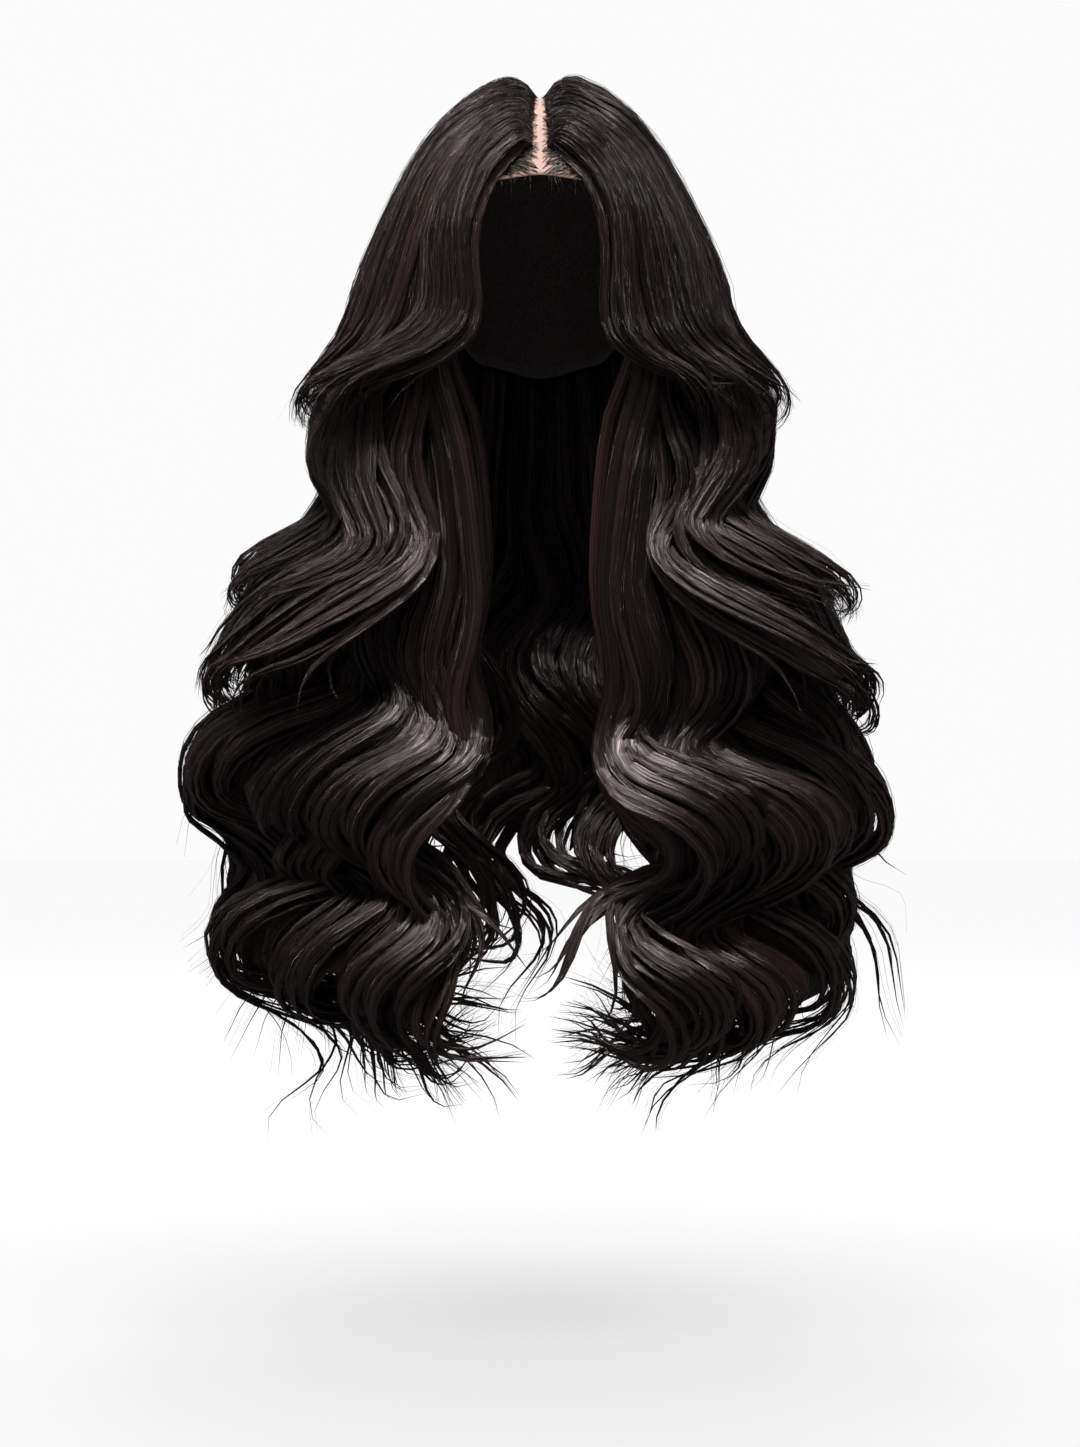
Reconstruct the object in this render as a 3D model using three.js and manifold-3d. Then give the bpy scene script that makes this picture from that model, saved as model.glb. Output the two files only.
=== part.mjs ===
// A long, centre-parted wavy wig: a thin lace front and a net cap, with layers of hair that hang from them.
// Millimetres, +Z up, face towards -Y. The origin is the inside of the cap's crown, where the top of the
// head rests. Every layer of hair is a curtain of locks, fused side by side and pointed at the tips.
import * as THREE from "three";
import { mergeVertices } from "three/addons/utils/BufferGeometryUtils.js";
import { ParametricGeometry } from "three/addons/geometries/ParametricGeometry.js";
import Module from "manifold-3d";

const wasm = await Module();
wasm.setup();
const { degToRad, lerp, smoothstep } = THREE.MathUtils;

// Driving dimensions
const HEAD_HALF_WIDTH = 76;
const HEAD_HALF_DEPTH = 97;
const CROWN_RISE = 105; // from the head's widest level up to its crown
const NAPE_DROP = 170; // from the crown down to the nape
const NAPE_TAPER = 0.12; // how much the head narrows from its widest level to the nape
const CAP_WALL = 1.2;
const GAP = 0.35; // clearance between neighbouring pieces
const EDGE_ROOM = 0.01; // room left at the edges of a layer, as a share of its width
const SEAM_BACK = 8; // the lace front ends this far behind the crown
const HEM_SPLIT = 0.9; // share of a lock's length at which neighbouring locks part
const FLUTE = 0.42; // thickness between two locks, as a share of a lock's own
const UNDERSIDE = 0.7; // how far a lock stands out underneath, as a share of its outer side
const ROOT_RUN = 0.05; // share of the length over which a layer swells from its root
const TIP_RUN = 0.45; // share of the length over which a layer thins to its tips
const WAVE_PITCH = 116; // from one wave to the next
const WAVE_IN = 523; // a drop at which the inner edge swings furthest in
const WAVE_ARCH = 0.45; // how much more the middle of a layer swings than its edges
const WAVES_FROM = 240; // drop at which the two halves begin to differ
const WAVES_FULL = 420; // drop at which they differ fully
const LAG_FADES = 0.8; // share of the length past which the right half's lag fades out
const CAP_SECTORS = 32; // facets round the cap
const CAP_ROWS = 7; // facets from the crown to the cap's edge

// Turns the rows of a table into records with the columns' names.
const table = (columns, rows) =>
  rows.map((row) => Object.fromEntries(columns.map((column, i) => [column, row[i]])));

// The cap's edge, by azimuth in degrees from the middle of the face round to the nape
const CAP_EDGE = table(["azimuth", "drop"], [
  [0, 62],
  [20, 64],
  [34, 73],
  [45, 84],
  [56, 100],
  [72, 119],
  [96, 103],
  [120, 128],
  [150, 156],
  [180, 163],
]);

// Each layer runs from its roots to its tips between two edges, with one row for each station on the way.
// "out" is sideways from the parting, "fwd" is towards the face, and "drop" is below the crown. The inner
// edge is the one nearer the face. "bulge" rounds the layer away from the head between its edges.
const STATION = ["inner_out", "inner_fwd", "inner_drop", "outer_out", "outer_fwd", "outer_drop", "bulge"];
const FRINGE = {
  name: "fringe", locks: 4, steps: 13, thickness: 9, lift: 6, stations: table(STATION, [
    [3, 82, 44, 3, 38, 5, 0],
    [17, 86, 52, 28, 40, 1, 3],
    [31, 91, 66, 54, 42, 18, 5],
    [39, 95, 89, 76, 41, 46, 7],
    [40, 96, 112, 92, 40, 78, 8],
    [38, 97, 137, 105, 38, 106, 8],
    [44, 98, 160, 117, 36, 132, 8],
    [66, 95, 177, 130, 33, 154, 9],
    [99, 86, 188, 143, 30, 172, 8],
    [129, 73, 195, 150, 28, 192, 5],
    [146, 62, 206, 147, 27, 213, 3],
    [150, 57, 222, 139, 26, 234, 1],
  ]),
};
const CROWN = {
  name: "crown", locks: 5, steps: 15, thickness: 11, lift: 8, stations: table(STATION, [
    [3, 40, 6, 0.6, -46, 11, 0],
    [28, 44, 3, 28, -54, 11, 2],
    [58, 46, 22, 62, -58, 38, 4],
    [86, 46, 70, 92, -60, 90, 6],
    [104, 48, 126, 113, -60, 140, 8],
    [104, 56, 186, 130, -57, 186, 12],
    [95, 68, 228, 136, -54, 222, 15],
    [88, 80, 264, 140, -51, 248, 17],
    [100, 87, 294, 160, -48, 268, 17],
    [131, 87, 311, 182, -45, 285, 14],
    [165, 80, 317, 194, -43, 303, 10],
    [188, 70, 328, 195, -43, 322, 6],
    [189, 64, 348, 188, -43, 342, 2],
  ]),
};
const MIDDLE = {
  name: "middle", locks: 5, steps: 17, thickness: 15, lift: 4, stations: table(STATION, [
    [62, 60, 82, 77, -34, 84, 0],
    [68, 60, 112, 84, -38, 112, 3],
    [72, 62, 160, 99, -40, 160, 6],
    [76, 66, 202, 112, -40, 208, 8],
    [73, 76, 246, 124, -40, 250, 9],
    [78, 88, 292, 148, -38, 288, 12],
    [102, 100, 330, 178, -34, 318, 16],
    [142, 105, 354, 202, -30, 344, 18],
    [183, 96, 364, 213, -28, 368, 14],
    [207, 82, 380, 211, -28, 394, 8],
    [206, 72, 410, 201, -28, 418, 3],
  ]),
};

// The longest layers also have "wave", how far they swing in and out, and "sag", which lets the middle hang
// lower. "leads" is how far down the waves run ahead from the inner edge to the outer one, and "inner_swing"
// and "outer_swing" are the share of the wave that the edges take.
const WAVY_STATION = [...STATION, "wave", "sag"];
const LENGTH = {
  name: "length", locks: 6, steps: 25, thickness: 22, lift: 4, leads: 55, inner_swing: 0.7, outer_swing: 0.25,
  stations: table(WAVY_STATION, [
    [54, 72, 96, 76, -24, 100, 0, 0, 0],
    [58, 70, 132, 84, -28, 130, 2, 0, 0],
    [60, 66, 176, 100, -32, 172, 3, 0, 0],
    [47, 72, 232, 120, -34, 216, 4, 0, 0],
    [40, 78, 300, 144, -36, 260, 8, 2, 0],
    [42, 84, 352, 172, -38, 302, 12, 14, 0],
    [55, 90, 402, 192, -40, 350, 16, 30, 0],
    [62, 94, 450, 203, -40, 404, 20, 36, 0],
    [68, 94, 500, 216, -40, 454, 20, 36, 0],
    [67, 93, 545, 203, -40, 502, 18, 32, 0],
    [60, 91, 578, 186, -38, 546, 16, 26, 8],
    [50, 88, 592, 164, -36, 582, 10, 14, 22],
    [40, 85, 598, 138, -34, 604, 4, 4, 30],
  ]),
};

// The back is one layer right across, from an edge under the left side hair to one under the right.
const BACK_STATION = ["half_width", "fwd", "drop", "bulge", "wave", "sag"];
const BACK = {
  name: "back", locks: 8, steps: 22, thickness: 20, lift: 6, leads: 0, inner_swing: 0.4, outer_swing: 0.4,
  stations: table(BACK_STATION, [
    [10, -44, 12, 4, 0, 0],
    [50, -42, 24, 32, 0, 0],
    [84, -38, 72, 66, 0, 0],
    [94, -34, 140, 82, 0, 0],
    [108, -30, 215, 87, 0, 0],
    [138, -26, 286, 94, 10, 0],
    [168, -24, 350, 94, 18, 0],
    [182, -22, 426, 98, 24, 0],
    [178, -24, 496, 94, 24, 0],
    [162, -26, 552, 94, 20, 0],
    [130, -28, 592, 82, 12, 26],
  ]).map(({ half_width, fwd, drop, ...form }) => ({
    inner_out: -half_width, inner_fwd: fwd, inner_drop: drop,
    outer_out: half_width, outer_fwd: fwd, outer_drop: drop, ...form,
  })),
};

// The two halves differ a little: "lag" lowers the waves, "reach" scales how far out they hang, and
// "swing" scales how far they swing.
const SIDES = [
  { name: "left", sign: -1, lag: 0, reach: 1, swing: 1 },
  { name: "right", sign: 1, lag: 12, reach: 0.98, swing: 1.1 },
];
const RIGHT_ACROSS = { sign: -1, lag: 3, reach: 1, swing: 1 };

const hair = new THREE.MeshStandardMaterial({ color: 0x1d1716, roughness: 0.42, metalness: 0 });
const lace = new THREE.MeshStandardMaterial({ color: 0xd9b6a4, roughness: 0.85, metalness: 0 });
const net = new THREE.MeshStandardMaterial({ color: 0x2a2220, roughness: 0.9, metalness: 0 });

// Joins the seams of a geometry, drops collapsed triangles and returns it as a solid that faces out.
function solidOf(geometry) {
  const bare = new THREE.BufferGeometry().setAttribute("position", geometry.getAttribute("position"));
  bare.setIndex(geometry.index);
  const merged = mergeVertices(bare, 1e-3);
  const faces = [];
  for (let i = 0; i < merged.index.count; i += 3) {
    const [a, b, c] = [0, 1, 2].map((k) => merged.index.getX(i + k));
    if (a !== b && b !== c && c !== a) faces.push([a, b, c]);
  }
  const build = (list) => new wasm.Manifold(new wasm.Mesh({
    numProp: 3, vertProperties: merged.attributes.position.array, triVerts: new Uint32Array(list.flat()),
  }));
  const made = build(faces);
  return made.volume() > 0 ? made : build(faces.map(([a, b, c]) => [a, c, b]));
}

// Keeps the main body of a cut solid and returns it as a geometry.
function geometryOf(solid) {
  const main = solid.decompose().reduce((best, body) => (body.volume() > best.volume() ? body : best));
  const { vertProperties, triVerts } = main.getMesh();
  const geometry = new THREE.BufferGeometry();
  geometry.setAttribute("position", new THREE.BufferAttribute(new Float32Array(vertProperties), 3));
  geometry.setIndex(new THREE.BufferAttribute(new Uint32Array(triVerts), 1));
  geometry.computeVertexNormals();
  return geometry;
}

// How wide the head is at a drop below the crown, as a share of its widest.
function headShare(drop) {
  const above = (CROWN_RISE - drop) / CROWN_RISE;
  const below = (drop - CROWN_RISE) / (NAPE_DROP - CROWN_RISE);
  return above > 0 ? Math.sqrt(Math.max(0, 1 - above * above)) : 1 - NAPE_TAPER * below * below;
}

// How far below the crown the cap's edge lies at an azimuth.
function edgeDrop(azimuth) {
  const turn = Math.min(180, Math.abs(azimuth));
  const after = CAP_EDGE.findIndex((row) => row.azimuth >= turn);
  const [a, b] = [CAP_EDGE[Math.max(0, after - 1)], CAP_EDGE[after]];
  return lerp(a.drop, b.drop, smoothstep(turn, a.azimuth, b.azimuth));
}

// A cap wall between two offsets from the head, open below along the cap's edge.
function domeWall(inside, outside, extraDrop) {
  const rows = 2 * CAP_ROWS + 1;
  const wall = (u, v, target) => {
    const azimuth = (u % 1) * 360 - 180;
    const row = Math.round(v * rows);
    const inner = row <= CAP_ROWS;
    const along = (inner ? row : rows - row) / CAP_ROWS; // 0 at the crown, 1 at the edge
    const offset = inner ? inside : outside;
    const drop = (edgeDrop(azimuth) + extraDrop) * (1 - Math.cos((along * Math.PI) / 2));
    const share = headShare(drop);
    const angle = degToRad(azimuth);
    target.set(
      Math.sin(angle) * (HEAD_HALF_WIDTH + offset) * share,
      -Math.cos(angle) * (HEAD_HALF_DEPTH + offset) * share,
      offset * (1 - along) - drop,
    );
  };
  return solidOf(new ParametricGeometry(wall, CAP_SECTORS, rows));
}

// Pushes a point that would lie in the head out to a lift above it.
function restOnHead(p, lift) {
  const level = Math.max(0, p.z + CROWN_RISE);
  const depth = Math.hypot(
    p.x / (HEAD_HALF_WIDTH + lift), p.y / (HEAD_HALF_DEPTH + lift), level / (CROWN_RISE + lift));
  if (depth >= 1 || p.z < -NAPE_DROP) return;
  p.x /= depth;
  p.y /= depth;
  if (level > 0) p.z = level / depth - CROWN_RISE;
}

// The middle surface of a layer: the point at a share of its width and a share of its length.
function flowOf(layer, side) {
  const curve = (point) => new THREE.CatmullRomCurve3(layer.stations.map(point), false, "centripetal");
  const inner = curve((row) => new THREE.Vector3(row.inner_out, -row.inner_fwd, -row.inner_drop));
  const outer = curve((row) => new THREE.Vector3(row.outer_out, -row.outer_fwd, -row.outer_drop));
  const shape = curve((row) => new THREE.Vector3(row.bulge, row.wave ?? 0, row.sag ?? 0));
  const { leads = 0, inner_swing = 0, outer_swing = 0 } = layer;
  return (share, along) => {
    const [a, b, form] = [inner.getPoint(along), outer.getPoint(along), shape.getPoint(along)];
    const arch = Math.sin(Math.PI * share);
    const p = a.clone().lerp(b, share);
    const away = new THREE.Vector2(b.y - a.y, a.x - b.x).normalize();
    if (away.x * p.x + away.y * p.y < 0) away.negate();
    p.x += away.x * form.x * arch;
    p.y += away.y * form.x * arch;
    p.z -= form.z * arch;
    const turn = (2 * Math.PI * (leads * share - p.z - WAVE_IN)) / WAVE_PITCH;
    const spread = lerp(inner_swing, outer_swing, share) + WAVE_ARCH * arch;
    p.x -= form.y * side.swing * spread * Math.cos(turn);
    restOnHead(p, CAP_WALL + GAP + layer.lift * smoothstep(along, 0, ROOT_RUN));
    const waves = smoothstep(-p.z, WAVES_FROM, WAVES_FULL);
    p.x *= side.sign * lerp(1, side.reach, waves);
    p.z -= side.lag * waves * (1 - smoothstep(along, LAG_FADES, 1));
    return p;
  };
}

// A layer of hair as one solid. "extra" thickens and widens it, for cutting room for it in its neighbours.
function curtain(layer, side, extra = 0) {
  const flow = flowOf(layer, side);
  const columns = layer.locks * 2;
  const nudge = 1e-3;
  const widening = extra > 0 ? EDGE_ROOM : 0;
  const surface = (u, v, target) => {
    const place = Math.round(u * columns * 2);
    const outside = place <= columns;
    const column = outside ? place : columns * 2 - place;
    const ridge = column % 2 === 1;
    const share = column === 0 ? -widening : column === columns ? 1 + widening : column / columns;
    const along = ridge ? v : Math.min(v, HEM_SPLIT);
    const p = flow(share, along);
    const across = flow(share + nudge, along).sub(flow(share - nudge, along));
    const down = flow(share, Math.min(1, along + nudge)).sub(flow(share, Math.max(0, along - nudge)));
    const normal = across.cross(down).normalize().multiplyScalar(-side.sign);
    const swell = smoothstep(v, 0, ROOT_RUN) * (1 - smoothstep(v, 1 - TIP_RUN, 1));
    const depth = (layer.thickness / 2) * swell * (ridge ? 1 : FLUTE) + extra;
    const parted = !ridge && v >= HEM_SPLIT;
    const sewn = v === 0 || v === 1 || parted || column === 0 || column === columns;
    if (!sewn) p.addScaledVector(normal, outside ? depth : -depth * UNDERSIDE);
    target.copy(p);
  };
  return solidOf(new ParametricGeometry(surface, columns * 2, layer.steps));
}

const wig = new THREE.Group();
const add = (name, solid, material) => {
  const mesh = new THREE.Mesh(geometryOf(solid), material);
  mesh.name = name;
  wig.add(mesh);
};

// The cap, in two pieces that meet along a seam from ear to ear
const cap = domeWall(0, CAP_WALL, 0);
const block = 4 * HEAD_HALF_DEPTH;
const half = (middle) => solidOf(new THREE.BoxGeometry(block, block, block).translate(0, middle, 0));
add("lace_front", cap.intersect(half(SEAM_BACK - GAP / 2 - block / 2)), lace);
add("net_cap", cap.intersect(half(SEAM_BACK + GAP / 2 + block / 2)), net);

// The hair, from the outermost layer inwards, each cut clear of the head and of the layers over it
let taken = domeWall(-HEAD_HALF_WIDTH / 3, CAP_WALL + GAP, GAP);
const addLayer = (name, layer, side) => {
  const locks = curtain(layer, side);
  add(name, locks.subtract(taken), hair);
  taken = taken.add(locks).add(curtain(layer, side, GAP));
};
for (const layer of [FRINGE, CROWN, MIDDLE, LENGTH]) {
  for (const side of SIDES) addLayer(`${layer.name}_${side.name}`, layer, side);
}
addLayer(BACK.name, BACK, RIGHT_ACROSS);

export default wig;
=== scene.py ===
# A long, centre-parted wavy wig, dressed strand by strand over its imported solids.
# Metres, +Z up, the face opening towards -Y. The tables and sizes of the wig below are in millimetres.
import math

import bmesh
import bpy
import numpy as np
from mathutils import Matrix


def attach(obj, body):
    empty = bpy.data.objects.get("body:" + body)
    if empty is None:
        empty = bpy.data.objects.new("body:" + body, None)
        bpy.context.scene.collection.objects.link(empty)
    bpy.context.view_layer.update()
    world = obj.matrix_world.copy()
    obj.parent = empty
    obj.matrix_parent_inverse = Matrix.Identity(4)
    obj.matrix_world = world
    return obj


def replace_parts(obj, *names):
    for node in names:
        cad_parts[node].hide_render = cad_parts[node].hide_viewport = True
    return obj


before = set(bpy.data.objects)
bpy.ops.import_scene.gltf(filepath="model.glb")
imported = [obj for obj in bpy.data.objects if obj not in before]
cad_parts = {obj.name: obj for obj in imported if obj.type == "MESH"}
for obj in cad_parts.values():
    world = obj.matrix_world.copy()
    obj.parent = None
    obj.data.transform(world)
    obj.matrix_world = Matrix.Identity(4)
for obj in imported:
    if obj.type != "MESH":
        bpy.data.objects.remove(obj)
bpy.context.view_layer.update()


# The cap: skin-toned lace over its front, which the hair is knotted into, and dark stretch net behind it,
# down to the nape. Each is one thin cloth, and a seam over the crown from ear to ear joins them.
MM = 0.001
CAP_HALF_WIDTH = 76
CAP_HALF_DEPTH = 97
CROWN_RISE = 105
NAPE_DROP = 170
NAPE_TAPER = 0.12
TAPER_ENDS = 1.2
CAP_WALL = 1.2
GAP = 0.35
SEAM_BACK = 8
CAP_SECTORS = 128
CAP_ROWS = 36
EDGE_AZIMUTH = [0, 20, 34, 45, 56, 72, 96, 120, 150, 180]
EDGE_DROP = [62, 64, 73, 84, 100, 119, 103, 128, 156, 163]
THREAD_ENDS = 0.05
HOLE_STARTS = 0.3
THREAD_RELIEF = 0.0004


def smooth(value, start, end):
    """Rises smoothly from 0 at start to 1 at end."""
    share = np.clip((value - start) / (end - start), 0, 1)
    return share * share * (3 - 2 * share)


def cap_share(drop):
    """How wide the cap is at a drop below the crown, as a share of its widest."""
    above = np.clip((CROWN_RISE - drop) / CROWN_RISE, 0, 1)
    below = np.clip((drop - CROWN_RISE) / (NAPE_DROP - CROWN_RISE), 0, TAPER_ENDS)
    return np.where(drop < CROWN_RISE, np.sqrt(1 - above * above), 1 - NAPE_TAPER * below * below)


def edge_drop(azimuth):
    """How far below the crown the cap's edge lies at an azimuth from the middle of the hairline."""
    turn = min(180, abs(azimuth))
    after = max(1, next(i for i, row in enumerate(EDGE_AZIMUTH) if row >= turn))
    rise = float(smooth(turn, EDGE_AZIMUTH[after - 1], EDGE_AZIMUTH[after]))
    return EDGE_DROP[after - 1] + (EDGE_DROP[after] - EDGE_DROP[after - 1]) * rise


def cap_point(azimuth, along, offset):
    """A point of the cap, from the crown (along 0) to the edge (along 1), in metres."""
    drop = edge_drop(azimuth) * (1 - math.cos(along * math.pi / 2))
    share = float(cap_share(drop))
    angle = math.radians(azimuth)
    return (
        math.sin(angle) * (CAP_HALF_WIDTH + offset) * share * MM,
        -math.cos(angle) * (CAP_HALF_DEPTH + offset) * share * MM,
        (offset * (1 - along) - drop) * MM,
    )


def new_piece(name, mesh, material):
    """Shows a mesh as a piece of the wig, which is one body."""
    piece = bpy.data.objects.new(name, mesh)
    bpy.context.collection.objects.link(piece)
    mesh.materials.append(material)
    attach(piece, "root")
    return piece


def cap_cloth(name, front, material):
    """One of the two cloths of the cap, cut from the whole dome at the seam, and its area."""
    dome = bmesh.new()
    bmesh.ops.create_grid(dome, x_segments=CAP_SECTORS, y_segments=CAP_ROWS, size=0.5)
    for corner in dome.verts:
        corner.co = cap_point(360 * corner.co.x, 0.5 - corner.co.y, 0)
    bmesh.ops.remove_doubles(dome, verts=dome.verts, dist=1e-6)
    whole = dome.verts[:] + dome.edges[:] + dome.faces[:]
    behind = 1 if front else -1
    seam = (SEAM_BACK - behind * GAP / 2) * MM
    bmesh.ops.bisect_plane(
        dome, geom=whole, dist=1e-7, plane_co=(0, seam, 0), plane_no=(0, behind, 0), clear_outer=True)
    bmesh.ops.recalc_face_normals(dome, faces=dome.faces)
    if sum(face.normal.z * face.calc_area() for face in dome.faces) < 0:
        bmesh.ops.reverse_faces(dome, faces=dome.faces)
    for face in dome.faces:
        face.smooth = True
    mesh = bpy.data.meshes.new(name)
    area = sum(face.calc_area() for face in dome.faces)
    dome.to_mesh(mesh)
    dome.free()
    piece = new_piece(name, mesh, material)
    wall = piece.modifiers.new("wall", "SOLIDIFY")
    wall.thickness = CAP_WALL * MM
    wall.offset = 1
    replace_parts(piece, name)
    return piece, area


def socketed(tree, kind, **inputs):
    """Adds a node and sets the inputs that are named, spaces written as underscores."""
    node = tree.nodes.new(kind)
    for key, value in inputs.items():
        node.inputs[key.replace("_", " ")].default_value = value
    return node


def finish_of(name, roughness):
    """A new material with its tree and its Principled shader."""
    material = bpy.data.materials.new(name)
    material.use_nodes = True
    shader = material.node_tree.nodes["Principled BSDF"]
    shader.inputs["Roughness"].default_value = roughness
    return material, material.node_tree, shader


def weave_group():
    """The weave that both cloths share: round-cornered cells between threads, in the cloth's own place."""
    group = bpy.data.node_groups.new("net weave", "ShaderNodeTree")
    for name, kind in (("Place", "Vector"), ("Cells", "Float"), ("Thread", "Color"), ("Hole", "Color")):
        group.interface.new_socket(name, in_out="INPUT", socket_type="NodeSocket" + kind)
    for name, kind in (("Colour", "Color"), ("Relief", "Float")):
        group.interface.new_socket(name, in_out="OUTPUT", socket_type="NodeSocket" + kind)
    given = group.nodes.new("NodeGroupInput")
    made = group.nodes.new("NodeGroupOutput")
    cells = socketed(group, "ShaderNodeTexVoronoi", Randomness=1)
    cells.feature = "DISTANCE_TO_EDGE"
    opened = socketed(group, "ShaderNodeMapRange", From_Min=THREAD_ENDS, From_Max=HOLE_STARTS)
    colour = group.nodes.new("ShaderNodeMix")
    colour.data_type = "RGBA"
    link = group.links.new
    link(given.outputs["Place"], cells.inputs["Vector"])
    link(given.outputs["Cells"], cells.inputs["Scale"])
    link(cells.outputs["Distance"], opened.inputs["Value"])
    link(opened.outputs["Result"], colour.inputs["Factor"])
    link(given.outputs["Thread"], colour.inputs["A"])
    link(given.outputs["Hole"], colour.inputs["B"])
    link(colour.outputs["Result"], made.inputs["Colour"])
    link(cells.outputs["Distance"], made.inputs["Relief"])
    return group


def net_finish(name, thread, hole, cells, roughness):
    """Fine net cloth: the weave in two tones, its threads in low relief."""
    material, tree, shader = finish_of(name, roughness)
    place = tree.nodes.new("ShaderNodeTexCoord")
    weave = tree.nodes.new("ShaderNodeGroup")
    weave.node_tree = net_weave
    weave.inputs["Cells"].default_value = cells
    weave.inputs["Thread"].default_value = (*thread, 1)
    weave.inputs["Hole"].default_value = (*hole, 1)
    relief = socketed(tree, "ShaderNodeBump", Strength=0.35, Distance=THREAD_RELIEF)
    relief.invert = True
    tree.links.new(place.outputs["Object"], weave.inputs["Place"])
    tree.links.new(weave.outputs["Colour"], shader.inputs["Base Color"])
    tree.links.new(weave.outputs["Relief"], relief.inputs["Height"])
    tree.links.new(relief.outputs["Normal"], shader.inputs["Normal"])
    return material


net_weave = weave_group()
lace = net_finish("skin lace", (0.35, 0.235, 0.195), (0.28, 0.18, 0.145), 900, 0.8)
net = net_finish("stretch net", (0.016, 0.012, 0.011), (0.04, 0.031, 0.028), 420, 0.85)
lace_front, lace_area = cap_cloth("lace_front", True, lace)
net_cap, net_area = cap_cloth("net_cap", False, net)


# The curtain fringe: two layers of fine hair knotted along the front of the parting and the hairline. They
# lie back off the hairline, frame the face opening, and swing out and under at the level of the cheeks.
SIDES = {
    "left": {"sign": -1, "lag": 0, "reach": 1, "swing": 1},
    "right": {"sign": 1, "lag": 12, "reach": 0.98, "swing": 1.1},
}

# A layer runs between two edges, one row to a station: inner out, fwd, drop; outer out, fwd, drop; bulge,
# wave, sag. Out is sideways from the parting, fwd towards the front, and drop below the crown. Bulge rounds
# the layer away from the cap, wave is how far it swings in and out, and sag lets its middle hang lower.
TO_FRAME = np.array([1, -1, -1, 1, -1, -1, 1, 1, 1])
FRINGE_ROWS = [
    [6, 82, 44, 4.5, 38, 5, 0, 0, 0],
    [17, 86, 52, 28, 40, 3, 3, 0, 0],
    [31, 91, 66, 54, 42, 18, 5, 0, 0],
    [39, 95, 89, 76, 41, 46, 7, 0, 0],
    [40, 96, 112, 92, 40, 78, 8, 1, 0],
    [38, 97, 137, 105, 38, 106, 8, 2, 0],
    [44, 98, 160, 117, 36, 132, 8, 3, 0],
    [66, 95, 177, 130, 33, 154, 9, 4, 0],
    [99, 86, 188, 143, 30, 172, 8, 4, 0],
    [129, 73, 195, 150, 28, 192, 5, 3, 0],
    [146, 62, 206, 147, 27, 213, 3, 2, 0],
    [150, 57, 222, 139, 26, 234, 1, 0, 0],
]

# Lift is a layer's height above the cap, and hem how far down its weft goes. The waves drop by wave_slant
# from the inner edge to the outer one, and turn is how far they swing front to back against sideways. Crest
# lifts the layer where it runs outwards. The locks lie so many abreast, in tresses with a round back, and
# their bodies end before their wisps and strands, which run ahead or behind, stray, and curl under.
FRINGE = {
    "name": "fringe", "rows": FRINGE_ROWS, "lift": 7, "thickness": 9, "hem": 0.72, "points": 20,
    "wave_slant": 30, "inner_swing": 0.8, "outer_swing": 0.8, "turn": 0, "crest": 3,
    "tresses": 2, "locks": 18, "abreast": 9, "round": 0.5, "lock_wide": 6, "lock_deep": 2.2,
    "body": 0.88, "start": 0, "wisp_wide": 1.9, "strands": 5, "radius": 0.18, "frizz": 0.9, "stray": 0.08,
    "shortest": 0.93, "uneven": 0.14, "ahead": 0.014, "curl": 1.4, "curl_from": 0.8, "turned_in": 0.06,
}

# Where hair lies: roots close on the cap, then the waves, which run later on the right.
ROOT_RUN = 0.05
LIFT_RUN = 0.2 * ROOT_RUN
CAP_FADES = (136, 204)
WAVE_PITCH = 116
WAVE_IN = 523
WAVE_ARCH = 0.45
WAVE_ROUND = 0.08
WAVES = (240, 420)
LAG_FADES = (0.8, 1)
NUDGE = 2e-3
RUNS_AHEAD = (0.3, 0.75)
FALLS_IN = (0.85, 1)
CREST_RUN = (0.25, 0.5)
FINE = 128
EASING = 6
BEND_COST = 70
CURL_POWER = 1.2
WIDEST = 220
STRAYS_PAST = 16
EDGE_KEPT = 0.003


def at_station(rows, along):
    """The row of a table at a share of its length, on a smooth curve through the rows."""
    table = np.array(rows, float) * TO_FRAME
    ended = np.vstack([2 * table[0] - table[1], table, 2 * table[-1] - table[-2]])
    place = np.clip(along, 0, 1) * (len(rows) - 1)
    first = np.clip(place.astype(int), 0, len(rows) - 2)
    step = (place - first)[..., None]
    a, b, c, d = (ended[first + i] for i in range(4))
    return b + step / 2 * (c - a + step * (2 * a - 5 * b + 4 * c - d + step * (3 * (b - c) + d - a)))


def unit(vectors):
    """Vectors of length 1 with the same directions."""
    return vectors / np.maximum(np.linalg.norm(vectors, axis=-1, keepdims=True), 1e-9)


def rest_on_cap(points, lift):
    """Pushes points that would lie inside the cap out to a lift above it."""
    level = np.maximum(0, points[..., 2] + CROWN_RISE)
    reach = np.stack([
        points[..., 0] / (CAP_HALF_WIDTH + lift),
        points[..., 1] / (CAP_HALF_DEPTH + lift),
        level / (CROWN_RISE + lift),
    ])
    depth = np.maximum(np.sqrt((reach * reach).sum(axis=0)), 0.05)
    fade = 1 - smooth(-points[..., 2], *CAP_FADES)
    grow = np.where(depth < 1, 1 + (1 / depth - 1) * fade, 1)
    points[..., :2] *= grow[..., None]
    points[..., 2] = np.where(level > 0, level * grow - CROWN_RISE, points[..., 2])
    return points


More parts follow.
